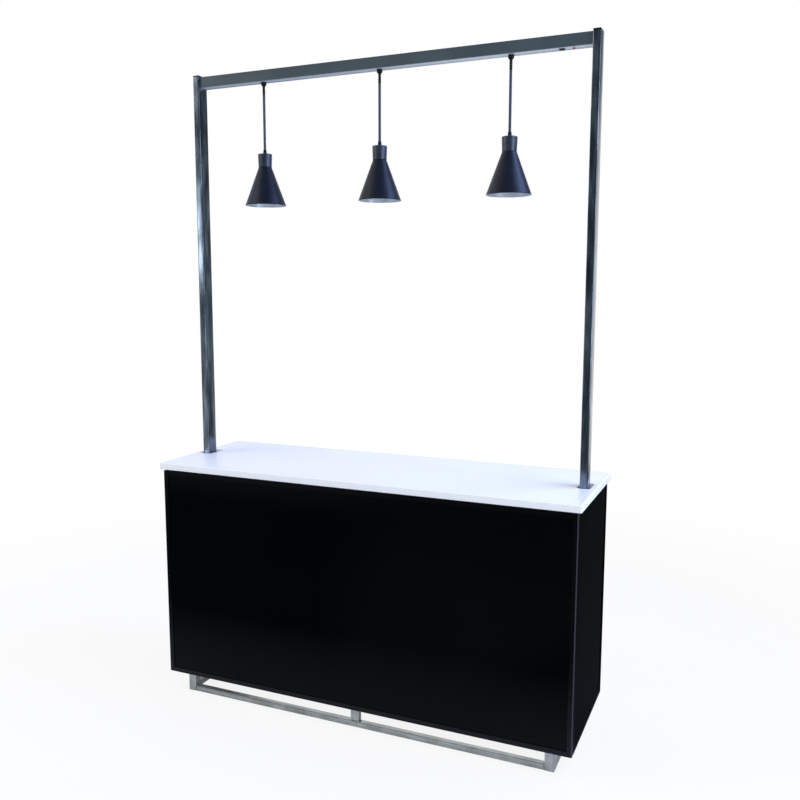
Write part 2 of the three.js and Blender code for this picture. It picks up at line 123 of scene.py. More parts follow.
world = bpy.data.worlds.new("white_sweep")
scene.world = world
world.use_nodes = True
tree = world.node_tree
tree.nodes.clear()
direction = add_node(tree, "ShaderNodeTexCoord").outputs["Generated"]
axes = add_node(tree, "ShaderNodeSeparateXYZ", {"Vector": direction})
behind = add_node(tree, "ShaderNodeMapRange", {"Value": axes.outputs["Y"], "From Min": -1.0, "From Max": 1.0})
room = add_node(tree, "ShaderNodeValToRGB", {"Fac": behind}, [
    (0.0, "#5b646c"), (0.05, "#5b646c"), (0.18, "#78828b"),
    (0.40, "#8d979f"), (0.55, "#e2e8ee"), (1.0, "#ffffff"),
])
sideways = add_node(tree, "ShaderNodeMapRange", {
    "Value": axes.outputs["X"], "From Min": SWEEP_EDGE, "From Max": SWEEP_FADED,
})
dim_side = add_node(tree, "ShaderNodeMix", {
    "Factor": sideways, "A": room, "B": linear(ROOM_SIDES),
}, data_type="RGBA", blend_type="MULTIPLY")
aloft = add_node(tree, "ShaderNodeMapRange", {
    "Value": axes.outputs["Z"], "From Min": CORNER_LOW, "From Max": CORNER_HIGH,
})
aside = add_node(tree, "ShaderNodeMapRange", {
    "Value": axes.outputs["X"], "From Min": CORNER_NEAR, "From Max": CORNER_FAR,
})
corner = add_node(tree, "ShaderNodeMath", {0: aloft, 1: aside}, operation="MULTIPLY")
dim_corner = add_node(tree, "ShaderNodeMix", {
    "Factor": corner, "A": dim_side, "B": linear(ROOM_CORNER),
}, data_type="RGBA", blend_type="MULTIPLY")
rays = add_node(tree, "ShaderNodeLightPath")
seen_bright = add_node(tree, "ShaderNodeBackground", {"Color": linear("#ffffff"), "Strength": 1.0})
seen_in_gloss = add_node(tree, "ShaderNodeBackground", {"Color": dim_corner, "Strength": 1.0})
fill = add_node(tree, "ShaderNodeBackground", {"Color": linear("#f4f7fb"), "Strength": FILL_LEVEL})
gloss_or_glass = add_node(tree, "ShaderNodeMath", {
    0: rays.outputs["Is Glossy Ray"], 1: rays.outputs["Is Transmission Ray"],
}, operation="MAXIMUM")
lit = add_node(tree, "ShaderNodeMixShader", {"Fac": gloss_or_glass, 1: fill, 2: seen_in_gloss})
shown = add_node(tree, "ShaderNodeMixShader", {
    "Fac": rays.outputs["Is Camera Ray"], 1: lit, 2: seen_bright,
})
add_node(tree, "ShaderNodeOutputWorld", {"Surface": shown})


# Studio floor: a matt white sweep that keeps the bar's shadow and fades to plain white further out.
# Polished metal sees it white close to the bar and far behind it, dark between, and dim in front.
FLOOR_HALF = 40.0
FLOOR_WHITE_SHARE = 0.86
FLOOR_FADE_FROM = 1.6
FLOOR_FADE_TO = 4.5
FLOOR_DARK_FROM = 0.10
FLOOR_DARK_TO = 0.85
FLOOR_DARK_SHARE = 0.97
FLOOR_DARK_RIGHT = 60.0
ROOM_REACH = 8.0
FAR_FRONT_FROM = -3.2
FAR_FRONT_TO = -4.8
ROOM_FLOOR_LIT = "#c6ccd0"

floor_mesh = bpy.data.meshes.new("floor")
floor_mesh.from_pydata(
    [(-FLOOR_HALF, -FLOOR_HALF, 0), (FLOOR_HALF, -FLOOR_HALF, 0),
     (FLOOR_HALF, FLOOR_HALF, 0), (-FLOOR_HALF, FLOOR_HALF, 0)],
    [], [(0, 1, 2, 3)],
)
floor = bpy.data.objects.new("floor", floor_mesh)
scene.collection.objects.link(floor)
floor_paint = bpy.data.materials.new("matt_white_sweep")
floor_paint.use_nodes = True
tree = floor_paint.node_tree
tree.nodes.clear()
rays = add_node(tree, "ShaderNodeLightPath")
matt = add_node(tree, "ShaderNodeBsdfDiffuse", {"Color": linear("#f7f8fa")})
white = add_node(tree, "ShaderNodeEmission", {"Color": linear("#ffffff"), "Strength": 1.0})
ground = add_node(tree, "ShaderNodeNewGeometry").outputs["Position"]
spread = add_node(tree, "ShaderNodeVectorMath", {0: ground}, operation="LENGTH")
fade = add_node(tree, "ShaderNodeMapRange", {
    "Value": spread, "From Min": FLOOR_FADE_FROM, "From Max": FLOOR_FADE_TO, "To Min": FLOOR_WHITE_SHARE,
}, interpolation_type="SMOOTHSTEP")
share = add_node(tree, "ShaderNodeMath", {0: rays.outputs["Is Camera Ray"], 1: fade}, operation="MULTIPLY")

ground_axes = add_node(tree, "ShaderNodeSeparateXYZ", {"Vector": ground})
far = None
for axis, way, reach, steepness in (
    ("X", 1.0, cad_box[1][0], FLOOR_DARK_RIGHT), ("X", -1.0, cad_box[1][0], 1.0),
    ("Y", 1.0, cad_box[1][1], 1.0), ("Y", -1.0, cad_box[1][1], 1.0),
):
    past = add_node(tree, "ShaderNodeMath", {
        0: ground_axes.outputs[axis], 1: way * steepness, 2: -reach * steepness,
    }, operation="MULTIPLY_ADD")
    far = add_node(tree, "ShaderNodeMath", {0: far, 1: past}, operation="MAXIMUM") if far else past
dusk = add_node(tree, "ShaderNodeMapRange", {
    "Value": far, "From Min": FLOOR_DARK_FROM, "From Max": FLOOR_DARK_TO, "To Max": FLOOR_DARK_SHARE,
})
mirrored_dusk = add_node(tree, "ShaderNodeMath", {
    0: dusk, 1: rays.outputs["Is Glossy Ray"],
}, operation="MULTIPLY")
depth = add_node(tree, "ShaderNodeMapRange", {
    "Value": ground_axes.outputs["Y"], "From Min": -ROOM_REACH, "From Max": ROOM_REACH,
})
room_floor = add_node(tree, "ShaderNodeValToRGB", {"Fac": depth}, [
    (0.0, "#5b646c"), (0.30, "#5b646c"), (0.38, "#737d86"), (0.42, "#737d86"),
    (0.47, "#0c0e10"), (0.78, "#0c0e10"), (0.86, "#ffffff"), (1.0, "#ffffff"),
])
slant = add_node(tree, "ShaderNodeMath", {0: ground_axes.outputs["X"], 1: spread}, operation="DIVIDE")
sideways = add_node(tree, "ShaderNodeMath", {0: slant}, operation="ABSOLUTE")
beside = add_node(tree, "ShaderNodeMapRange", {
    "Value": sideways, "From Min": SWEEP_EDGE, "From Max": SWEEP_FADED,
})
in_front = add_node(tree, "ShaderNodeMapRange", {
    "Value": ground_axes.outputs["Y"], "From Min": FAR_FRONT_FROM, "From Max": FAR_FRONT_TO,
})
far_corner = add_node(tree, "ShaderNodeMath", {0: beside, 1: in_front}, operation="MULTIPLY")
near_side = add_node(tree, "ShaderNodeMath", {0: beside, 1: far_corner}, operation="SUBTRACT")
dim_floor = add_node(tree, "ShaderNodeMix", {
    "Factor": near_side, "A": room_floor, "B": linear(ROOM_SIDES),
}, data_type="RGBA", blend_type="MULTIPLY")
lit_floor = add_node(tree, "ShaderNodeMix", {
    "Factor": far_corner, "A": dim_floor, "B": linear(ROOM_FLOOR_LIT),
}, data_type="RGBA")
shadowed = add_node(tree, "ShaderNodeEmission", {"Color": lit_floor, "Strength": 1.0})
in_mirror = add_node(tree, "ShaderNodeMixShader", {"Fac": mirrored_dusk, 1: matt, 2: shadowed})
sweep = add_node(tree, "ShaderNodeMixShader", {"Fac": share, 1: in_mirror, 2: white})
add_node(tree, "ShaderNodeOutputMaterial", {"Surface": sweep})
floor_mesh.materials.append(floor_paint)


# Studio lamps: a warm box on the left, a cooler one on the right, a weak one overhead, a small one for
# the lamps' left sides, and a blue one high on the right with a honeycomb grid.
def soft_box(name, place, target, width, height, power, colour, spread=180):
    """A rectangular studio lamp aimed at a point; a honeycomb grid narrows its spread."""
    lamp = bpy.data.lights.new(name, "AREA")
    lamp.shape = "RECTANGLE"
    lamp.size = width
    lamp.size_y = height
    lamp.energy = power
    lamp.spread = math.radians(spread)
    lamp.color = linear(colour)[:3]
    holder = bpy.data.objects.new(name, lamp)
    holder.location = place
    holder.rotation_euler = (Vector(target) - Vector(place)).to_track_quat("-Z", "Y").to_euler()
    scene.collection.objects.link(holder)


soft_box("soft_box_left", place=(-3.0, -2.0, 4.4), target=(0, 0, 1.3),
         width=2.0, height=2.2, power=48, colour="#fff8f0")
soft_box("soft_box_window", place=(-2.93, -2.81, 2.30), target=(-0.87, 0, 2.0),
         width=0.8, height=0.75, power=7, colour="#eaf6ff")
soft_box("soft_box_right", place=(3.6, -1.0, 2.2), target=(0, 0, 1.3),
         width=1.6, height=2.4, power=54, colour="#dbe6ff")
soft_box("soft_box_top", place=(0.2, 0.6, 4.6), target=(0, 0, 1.0),
         width=3.0, height=1.6, power=2, colour="#ffffff")
soft_box("soft_box_cool", place=(2.7, 0.6, 4.3), target=(0.2, 0.0, 2.35),
         width=2.0, height=2.0, power=47, colour="#a6bbff", spread=90)


# Folding frame: square stainless tube welded into a front frame and two wings, which hang on weld-on
# barrel hinges. Moulded nylon saddles on the wings take the gantry's uprights.
SCRATCH_WIDTH = 0.00238
SCRATCH_LENGTH = 0.111
HANDLED_PATCH = 0.0714
NYLON_GRAIN = 0.0011


def new_material(name):
    """A material with an empty node tree, and its object coordinates in metres."""
    material = bpy.data.materials.new(name)
    material.use_nodes = True
    tree = material.node_tree
    tree.nodes.clear()
    return material, tree, add_node(tree, "ShaderNodeTexCoord").outputs["Object"]


def satin(along):
    """Satin stainless, belt-polished along one axis and duller in patches where hands take hold.

    The scratches are drawn wider than real ones, so that they show."""
    material, tree, place = new_material(f"satin_stainless_grain_{along}")
    stretch = [1 / (SCRATCH_LENGTH if axis == along else SCRATCH_WIDTH) for axis in "xyz"]
    lengthwise = add_node(tree, "ShaderNodeMapping", {"Vector": place, "Scale": stretch})
    scratches = add_node(tree, "ShaderNodeTexNoise", {"Vector": lengthwise, "Scale": 1.0, "Detail": 3.0})
    stain = add_node(tree, "ShaderNodeTexNoise", {
        "Vector": place, "Scale": 1 / HANDLED_PATCH, "Detail": 3.0,
    })
    grain = add_node(tree, "ShaderNodeValToRGB", {"Fac": scratches}, [(0.3, "#b0b3b2"), (0.7, "#d8dad8")])
    handled = add_node(tree, "ShaderNodeValToRGB", {"Fac": stain}, [(0.35, "#d9dbda"), (0.65, "#ffffff")])
    worn = add_node(tree, "ShaderNodeMix", {
        "Factor": 1.0, "A": grain, "B": handled,
    }, data_type="RGBA", blend_type="MULTIPLY")
    dull = add_node(tree, "ShaderNodeMapRange", {"Value": stain, "To Min": 0.30, "To Max": 0.46})
    bump = add_node(tree, "ShaderNodeBump", {"Height": scratches, "Strength": 0.08, "Distance": 0.0002})
    shader = add_node(tree, "ShaderNodeBsdfPrincipled", {
        "Base Color": worn, "Metallic": 0.72, "Roughness": dull, "Normal": bump,
    })
    add_node(tree, "ShaderNodeOutputMaterial", {"Surface": shader})
    return material


# Nylon, moulded in an etched mould: a fine grain breaks up its shine. It is drawn coarse enough to show.
moulded, tree, place = new_material("black_moulded_nylon")
grain = add_node(tree, "ShaderNodeTexNoise", {"Vector": place, "Scale": 1 / NYLON_GRAIN, "Detail": 2.0})
black = add_node(tree, "ShaderNodeValToRGB", {"Fac": grain}, [(0.3, "#08090b"), (0.7, "#15171a")])
bump = add_node(tree, "ShaderNodeBump", {"Height": grain, "Strength": 0.15, "Distance": 0.0002})
shader = add_node(tree, "ShaderNodeBsdfPrincipled", {
    "Base Color": black, "Roughness": 0.42, "Specular IOR Level": 0.35, "Normal": bump,
})
add_node(tree, "ShaderNodeOutputMaterial", {"Surface": shader})


def dress(name, finish):
    """Gives a CAD solid a finish in place of its plain colour."""
    nodes[name].data.materials.clear()
    nodes[name].data.materials.append(finish)


satin_along = {axis: satin(axis) for axis in "xyz"}
for name in nodes:
    wing = "_wing_" in name
    framed = name.startswith("front_") and not name.startswith("front_panel")
    if not (wing or framed or name.endswith("_hinge_pin")):
        continue
    if name.endswith("_saddle"):
        dress(name, moulded)
    elif name.endswith("_rail"):
        dress(name, satin_along["y" if wing else "x"])
    else:
        dress(name, satin_along["z"])


# Weld beads: a rippled bead of stainless weld metal runs along each joint of the base where the tubes
# meet. It is left as welded, and tapers where the torch was lifted.
BEAD_SIZE = 0.0032
BEAD_SIDES = 8
RIPPLE_PITCH = 0.0032
RIPPLE_STEPS = 4
RIPPLE_DEPTH = 0.18
TIP_SIZE = 0.35
TIP_STEPS = 3
WELD_INSET = 0.004
WELD_FACE_INSET = 0.003
HEAT_PATCH = 0.00625
SHARP_ANGLE = math.radians(40)

# Weld metal: heat leaves patches of grey, straw and brown on the bright steel.
blued, tree, place = new_material("weld_bead_stainless")
heat = add_node(tree, "ShaderNodeTexNoise", {"Vector": place, "Scale": 1 / HEAT_PATCH, "Detail": 2.0})
tints = add_node(tree, "ShaderNodeValToRGB", {"Fac": heat}, [
    (0.3, "#9a9b97"), (0.55, "#c3c6c6"), (0.75, "#a99f94"),
])
shader = add_node(tree, "ShaderNodeBsdfPrincipled", {"Base Color": tints, "Metallic": 1.0, "Roughness": 0.32})
add_node(tree, "ShaderNodeOutputMaterial", {"Surface": shader})


def skin(shape, rings):
    """Joins each ring of points to the next with smooth faces."""
    for a, b in zip(rings, rings[1:]):
        for i in range(len(a)):
            j = (i + 1) % len(a)
            shape.faces.new((a[i], a[j], b[j], b[i])).smooth = True


def as_piece(name, shape, finishes, sharp_angle=SHARP_ANGLE):
    """An object from a worked shape, with its finishes; edges past the sharp angle stay crisp."""
    mesh = bpy.data.meshes.new(name)
    shape.to_mesh(mesh)
    shape.free()
    if sharp_angle:
        mesh.set_sharp_from_angle(angle=sharp_angle)
    for finish in finishes:
        mesh.materials.append(finish)
    piece = bpy.data.objects.new(name, mesh)
    scene.collection.objects.link(piece)
    return piece


def weld_bead(name, start, end):
    """A straight rippled bead between two points of the front frame."""
    start, end = Vector(start), Vector(end)
    run = end - start
    steps = max(int(run.length / RIPPLE_PITCH * RIPPLE_STEPS), RIPPLE_STEPS)
    side = run.normalized().orthogonal()
    other = run.normalized().cross(side)
    shape = bmesh.new()
    rings = []
    for i in range(steps + 1):
        ripple = 1 - RIPPLE_DEPTH + RIPPLE_DEPTH * abs(math.sin(math.pi * i / RIPPLE_STEPS))
        taper = min(1.0, TIP_SIZE + (1 - TIP_SIZE) * min(i, steps - i) / TIP_STEPS)
        radius = BEAD_SIZE * ripple * taper
        centre = start + run * i / steps
        ring = []
        for k in range(BEAD_SIDES):
            turn = 2 * math.pi * k / BEAD_SIDES
            ring.append(shape.verts.new(centre + radius * (side * math.cos(turn) + other * math.sin(turn))))
        rings.append(ring)
    skin(shape, rings)
    shape.faces.new(rings[0][::-1])
    shape.faces.new(rings[-1])
    bmesh.ops.recalc_face_normals(shape, faces=shape.faces)
    piece = as_piece(name, shape, [blued], sharp_angle=None)
    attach(piece, "front_frame")


rail_low, rail_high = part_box("front_bottom_rail")
post_low, post_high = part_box("front_mid_post")
top = rail_high.z
for edge, y in (("front", post_low.y), ("rear", post_high.y)):
    weld_bead(f"mid_post_weld_{edge}", (post_low.x + WELD_INSET, y, top), (post_high.x - WELD_INSET, y, top))
for edge, x in (("left", post_low.x), ("right", post_high.x)):
    weld_bead(f"mid_post_weld_{edge}", (x, post_low.y + WELD_INSET, top), (x, post_high.y - WELD_INSET, top))
for side, x in (("left", rail_low.x), ("right", rail_high.x)):
    weld_bead(f"{side}_corner_weld_top",
              (x, rail_low.y + WELD_INSET, top), (x, rail_high.y - WELD_INSET, top))
    for edge, y in (("front", rail_low.y), ("rear", rail_high.y)):
        weld_bead(f"{side}_corner_weld_{edge}",
                  (x, y, rail_low.z + WELD_FACE_INSET), (x, y, top - WELD_FACE_INSET))


# Panels: gloss black acrylic sheets set in rebated borders of black anodised aluminium. The side panels
# stand off from the wings on hollow bars with the same finish.
DUST_PATCH = 0.625
DRAWN_GRAIN = 0.0042
TRIM_TONE_LOW = 0.12
TRIM_TONE_HIGH = 0.50
CORNER_HIGHLIGHT_WIDTH = 0.004

# Cast acrylic: a deep black under a clear shine, with slow changes of tone from dust.
gloss, tree, place = new_material("gloss_black_acrylic")
dust = add_node(tree, "ShaderNodeTexNoise", {"Vector": place, "Scale": 1 / DUST_PATCH, "Detail": 2.0})
black = add_node(tree, "ShaderNodeValToRGB", {"Fac": dust}, [(0.3, "#020304"), (0.7, "#040506")])
shader = add_node(tree, "ShaderNodeBsdfPrincipled", {
    "Base Color": black, "Roughness": 0.05, "Specular IOR Level": 0.09,
})
add_node(tree, "ShaderNodeOutputMaterial", {"Surface": shader})

# Anodised aluminium: satin black with a fine grain, drawn coarse enough to show. It is lighter towards
# the floor, and a painted highlight runs as a lighter line down the front border's right-hand corner.
trim, tree, place = new_material("satin_black_anodised_trim")
axes = add_node(tree, "ShaderNodeSeparateXYZ", {"Vector": place})
# The trim is lighter towards the floor and darker higher up.
height = add_node(tree, "ShaderNodeMapRange", {
    "Value": axes.outputs["Z"], "From Min": TRIM_TONE_LOW, "From Max": TRIM_TONE_HIGH,
})
lighter_near_floor = add_node(tree, "ShaderNodeValToRGB", {"Fac": height}, [(0.0, "#171a1d"), (1.0, "#040506")])
grain = add_node(tree, "ShaderNodeTexNoise", {"Vector": place, "Scale": 1 / DRAWN_GRAIN, "Detail": 3.0})
drawn = add_node(tree, "ShaderNodeValToRGB", {"Fac": grain}, [(0.3, "#c8cacc"), (0.7, "#ffffff")])
anodised = add_node(tree, "ShaderNodeMix", {
    "Factor": 1.0, "A": lighter_near_floor, "B": drawn,
}, data_type="RGBA", blend_type="MULTIPLY")
# Painted highlight: a lighter line down the front border's right-hand front corner.
low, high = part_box("front_panel_border")
outward = add_node(tree, "ShaderNodeMath", {
    0: axes.outputs["X"], 1: high.x - CORNER_HIGHLIGHT_WIDTH,
}, operation="GREATER_THAN")
forward = add_node(tree, "ShaderNodeMath", {
    0: axes.outputs["Y"], 1: low.y + CORNER_HIGHLIGHT_WIDTH,
}, operation="LESS_THAN")
painted_corner_highlight = add_node(tree, "ShaderNodeMath", {0: outward, 1: forward}, operation="MULTIPLY")
corner_highlighted = add_node(tree, "ShaderNodeMix", {
    "Factor": painted_corner_highlight, "A": anodised, "B": linear("#40404a"),
}, data_type="RGBA")
shader = add_node(tree, "ShaderNodeBsdfPrincipled", {
    "Base Color": corner_highlighted, "Roughness": 0.24, "Specular IOR Level": 0.16,
})
add_node(tree, "ShaderNodeOutputMaterial", {"Surface": shader})

for name in nodes:
    if name.endswith("_sheet"):
        dress(name, gloss)
    elif "_border" in name or "_standoff" in name:
        dress(name, trim)


# Counter: one thick slab faced with white laminate, with a lipping of the same white round its rim and
# softened edges. A rounded slot near each end lets an upright through.
COUNTER_CORNER = 0.006
COUNTER_EDGE = 0.003
EDGE_STEPS = 6
CORNER_STEPS = 8
LIPPING_WIDTH = 0.010
JOINT_HALF_WIDTH = 0.004
SLOT_PLACE = (0.873, 0.019)
SLOT_SIZE = (0.050, 0.106)
SLOT_CORNER = 0.010
LAMINATE_CLOUD = 0.333
LAMINATE_GRAIN = 0.002

slab_low, slab_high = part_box("counter_slab")

# Laminate: an even, softly shining white with a pressed grain, and a faint joint line inside the lipping.
# The grain is drawn coarse enough to show.
laminate, tree, place = new_material("white_laminate")
cloud = add_node(tree, "ShaderNodeTexNoise", {"Vector": place, "Scale": 1 / LAMINATE_CLOUD, "Detail": 3.0})
grain = add_node(tree, "ShaderNodeTexNoise", {"Vector": place, "Scale": 1 / LAMINATE_GRAIN, "Detail": 2.0})
field = add_node(tree, "ShaderNodeValToRGB", {"Fac": cloud}, [(0.25, "#e8ebf2"), (0.75, "#eef0f5")])
axes = add_node(tree, "ShaderNodeSeparateXYZ", {"Vector": place})
past_edges = []
for axis, limit in (("X", slab_high.x), ("Y", slab_high.y)):
    distance = add_node(tree, "ShaderNodeMath", {0: axes.outputs[axis]}, operation="ABSOLUTE")
    past_edges.append(add_node(tree, "ShaderNodeMath", {0: distance, 1: limit}, operation="SUBTRACT"))
outer = add_node(tree, "ShaderNodeMath", {0: past_edges[0], 1: past_edges[1]}, operation="MAXIMUM")
band = add_node(tree, "ShaderNodeMapRange", {
    "Value": outer,
    "From Min": -LIPPING_WIDTH - JOINT_HALF_WIDTH, "From Max": -LIPPING_WIDTH + JOINT_HALF_WIDTH,
})
joint = add_node(tree, "ShaderNodeValToRGB", {"Fac": band}, [
    (0.0, "#ffffff"), (0.35, "#e7edf9"), (0.6, "#e7edf9"), (1.0, "#ffffff"),
])
# Painted highlight: the lipping band and the slab's edge faces are whitened where the rim catches light.
rim_highlighted = add_node(tree, "ShaderNodeMix", {
    "Factor": band, "A": field, "B": linear("#fafcff"),
}, data_type="RGBA")
lined = add_node(tree, "ShaderNodeMix", {
    "Factor": 1.0, "A": rim_highlighted, "B": joint,
}, data_type="RGBA", blend_type="MULTIPLY")
bump = add_node(tree, "ShaderNodeBump", {"Height": grain, "Strength": 0.05, "Distance": 0.0001})
shader = add_node(tree, "ShaderNodeBsdfPrincipled", {"Base Color": lined, "Roughness": 0.36, "Normal": bump})
add_node(tree, "ShaderNodeOutputMaterial", {"Surface": shader})


def rounded_section(width, depth, radius, steps):
    """The corners of a rounded rectangle about the origin, in order."""
    points = []
    for corner, (sx, sy) in enumerate(((1, 1), (-1, 1), (-1, -1), (1, -1))):
        for i in range(steps + 1):
            angle = math.pi / 2 * (corner + i / steps)
            points.append((sx * (width / 2 - radius) + radius * math.cos(angle),
                           sy * (depth / 2 - radius) + radius * math.sin(angle)))
    return points


def edge_rings(shape, centre, size, corner, sign):
    """The levels of a wall with softened edges, from the slab's underside up; sign is -1 for a slot."""
    rings = []
    for i in range(2 * EDGE_STEPS + 2):
        upper = i > EDGE_STEPS
        step = i - EDGE_STEPS - 1 if upper else EDGE_STEPS - i
        angle = math.pi / 2 * step / EDGE_STEPS
        inset = COUNTER_EDGE * (1 - math.cos(angle)) * sign
        rise = COUNTER_EDGE * (1 - math.sin(angle))
        level = slab_high.z - rise if upper else slab_low.z + rise
        section = rounded_section(size[0] - 2 * inset, size[1] - 2 * inset, corner - inset, CORNER_STEPS)
        rings.append([shape.verts.new((centre[0] + x, centre[1] + y, level)) for x, y in section])
    return rings


shape = bmesh.new()
walls = [edge_rings(shape, (slab_low + slab_high) / 2, slab_high - slab_low, COUNTER_CORNER, 1)]
for side in (-1, 1):
    walls.append(edge_rings(shape, (side * SLOT_PLACE[0], SLOT_PLACE[1]), SLOT_SIZE, SLOT_CORNER, -1))
for rings in walls:
    skin(shape, rings)
for level in (0, -1):
    rims = [rings[level] for rings in walls]
    edges = [shape.edges.get((rim[i - 1], rim[i])) for rim in rims for i in range(len(rim))]
    bmesh.ops.triangle_fill(shape, use_beauty=True, use_dissolve=False, edges=edges)
bmesh.ops.recalc_face_normals(shape, faces=shape.faces)
counter = as_piece("laminate_counter", shape, [laminate])
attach(counter, "counter")
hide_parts("counter_slab")


# Gantry uprights: rectangular stainless tube with rounded corners, polished to a mirror. They stand in
# the wings' saddles and pass up through the counter's slots.
UPRIGHTS = ("left", "right")
UPRIGHT_CORNER = 0.003
UPRIGHT_WALL = 0.0015
UPRIGHT_CORNER_STEPS = 6
DRAW_MARK_WIDTH = 0.0222
DRAW_MARK_LENGTH = 0.143

# Polished stainless: a clear mirror, with faint lighter and darker marks along the tube from drawing.
polished, tree, place = new_material("mirror_polished_stainless")
lengthwise = add_node(tree, "ShaderNodeMapping", {
    "Vector": place, "Scale": (1 / DRAW_MARK_WIDTH, 1 / DRAW_MARK_WIDTH, 1 / DRAW_MARK_LENGTH),
})
marks = add_node(tree, "ShaderNodeTexNoise", {"Vector": lengthwise, "Scale": 1.0, "Detail": 3.0})
steel = add_node(tree, "ShaderNodeValToRGB", {"Fac": marks}, [
    (0.32, "#555d65"), (0.5, "#78828c"), (0.68, "#a9b3be"),
])
bump = add_node(tree, "ShaderNodeBump", {"Height": marks, "Strength": 0.12, "Distance": 0.0003})
shader = add_node(tree, "ShaderNodeBsdfPrincipled", {
    "Base Color": steel, "Metallic": 1.0, "Roughness": 0.16, "Normal": bump,
})
add_node(tree, "ShaderNodeOutputMaterial", {"Surface": shader})

for side in UPRIGHTS:
    low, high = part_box(f"{side}_upright")
    middle = (low + high) / 2
    size = high - low
    shape = bmesh.new()
    loops = []
    for inset in (0, UPRIGHT_WALL):
        section = rounded_section(size.x - 2 * inset, size.y - 2 * inset,
                                  UPRIGHT_CORNER - inset, UPRIGHT_CORNER_STEPS)
        for height in (low.z, high.z):
            loops.append([shape.verts.new((middle.x + x, middle.y + y, height)) for x, y in section])
    outer_low, outer_high, inner_low, inner_high = loops
    skin(shape, (outer_low, outer_high, inner_high, inner_low, outer_low))
    upright = as_piece(f"{side}_polished_upright", shape, [polished])
    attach(upright, "gantry")
    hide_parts(f"{side}_upright")


# Upright end caps: moulded nylon plugs pressed into the upper ends of the tubes. The domed head is as
# wide as the tube, and the plug below it narrows at its foot to find the bore.
CAP_HEAD_HEIGHT = 0.0057
CAP_DOME = 0.003
CAP_DOME_STEPS = 6
CAP_PLUG_INSET = 0.0018
CAP_LEAD = 0.0008
CAP_LEAD_HEIGHT = 0.002
CAP_LEAST_CORNER = 0.0008

for side in UPRIGHTS:
    low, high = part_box(f"{side}_upright_cap")
    middle = (low + high) / 2
    size = high - low
    head_foot = high.z - CAP_HEAD_HEIGHT
    levels = [(CAP_PLUG_INSET + CAP_LEAD, low.z), (CAP_PLUG_INSET, low.z + CAP_LEAD_HEIGHT),
              (CAP_PLUG_INSET, head_foot), (0, head_foot)]
    for i in range(CAP_DOME_STEPS + 1):
        angle = math.pi / 2 * i / CAP_DOME_STEPS
        levels.append((CAP_DOME * (1 - math.cos(angle)), high.z - CAP_DOME * (1 - math.sin(angle))))
    shape = bmesh.new()
    rings = []
    for inset, height in levels:
        corner = max(UPRIGHT_CORNER - inset, CAP_LEAST_CORNER)
        section = rounded_section(size.x - 2 * inset, size.y - 2 * inset, corner, UPRIGHT_CORNER_STEPS)
        rings.append([shape.verts.new((middle.x + x, middle.y + y, height)) for x, y in section])
    skin(shape, rings)
    shape.faces.new(rings[0][::-1])
    shape.faces.new(rings[-1]).smooth = True
    end_cap = as_piece(f"{side}_end_cap", shape, [moulded])
    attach(end_cap, "gantry")
    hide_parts(f"{side}_upright_cap")


# Gantry beam: a rectangular metal tube between the uprights, which carries the lamps and the switch.
# Its sides and top are painted slate grey, and its underside is a pale, part-metallic face with a painted
# reflection.
PAINT_CLOUD = 0.167
PAINT_PEEL = 0.0017
ROLLED_LENGTH = 0.667
ROLLED_WIDTH = 0.00333
UNDERSIDE_FACING = -0.6
UNDERSIDE_METALLIC = 0.35

# Satin paint: an even grey with a soft shine and a fine peel, drawn coarse enough to show. The underside
# is painted bright across its middle, a painted reflection of the bright counter below, with streaks along
# the beam from rolling.
slate, tree, place = new_material("slate_satin_paint_reflecting_underside")
low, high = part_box("gantry_beam")
cloud = add_node(tree, "ShaderNodeTexNoise", {"Vector": place, "Scale": 1 / PAINT_CLOUD, "Detail": 3.0})
paint = add_node(tree, "ShaderNodeValToRGB", {"Fac": cloud}, [(0.3, "#414d54"), (0.7, "#4d5a60")])
across = add_node(tree, "ShaderNodeSeparateXYZ", {"Vector": place}).outputs["Y"]
depth = add_node(tree, "ShaderNodeMapRange", {"Value": across, "From Min": low.y, "From Max": high.y})
# Painted reflection: the underside is brightest across its middle and darker at front and rear.
painted_underside_reflection = add_node(tree, "ShaderNodeValToRGB", {"Fac": depth}, [
    (0.0, "#b4c3d2"), (0.3, "#f0f5f9"), (0.6, "#cfdae5"), (1.0, "#8d9bad"),
])
lengthwise = add_node(tree, "ShaderNodeMapping", {
    "Vector": place, "Scale": (1 / ROLLED_LENGTH, 1 / ROLLED_WIDTH, 1 / ROLLED_WIDTH),
})
rolled = add_node(tree, "ShaderNodeTexNoise", {"Vector": lengthwise, "Scale": 1.0, "Detail": 2.0})
streaks = add_node(tree, "ShaderNodeValToRGB", {"Fac": rolled}, [(0.3, "#d5dbe1"), (0.7, "#ffffff")])
reflected_underside = add_node(tree, "ShaderNodeMix", {
    "Factor": 1.0, "A": painted_underside_reflection, "B": streaks,
}, data_type="RGBA", blend_type="MULTIPLY")
normal = add_node(tree, "ShaderNodeNewGeometry").outputs["True Normal"]
upward = add_node(tree, "ShaderNodeSeparateXYZ", {"Vector": normal}).outputs["Z"]
underside = add_node(tree, "ShaderNodeMath", {0: upward, 1: UNDERSIDE_FACING}, operation="LESS_THAN")
mixed = add_node(tree, "ShaderNodeMix", {"Factor": underside, "A": paint, "B": reflected_underside}, data_type="RGBA")
metallic = add_node(tree, "ShaderNodeMath", {0: underside, 1: UNDERSIDE_METALLIC}, operation="MULTIPLY")
peel = add_node(tree, "ShaderNodeTexNoise", {"Vector": place, "Scale": 1 / PAINT_PEEL, "Detail": 1.0})
bump = add_node(tree, "ShaderNodeBump", {"Height": peel, "Strength": 0.08, "Distance": 0.0002})
shader = add_node(tree, "ShaderNodeBsdfPrincipled", {
    "Base Color": mixed, "Metallic": metallic, "Roughness": 0.38, "Specular IOR Level": 0.25, "Normal": bump,
})
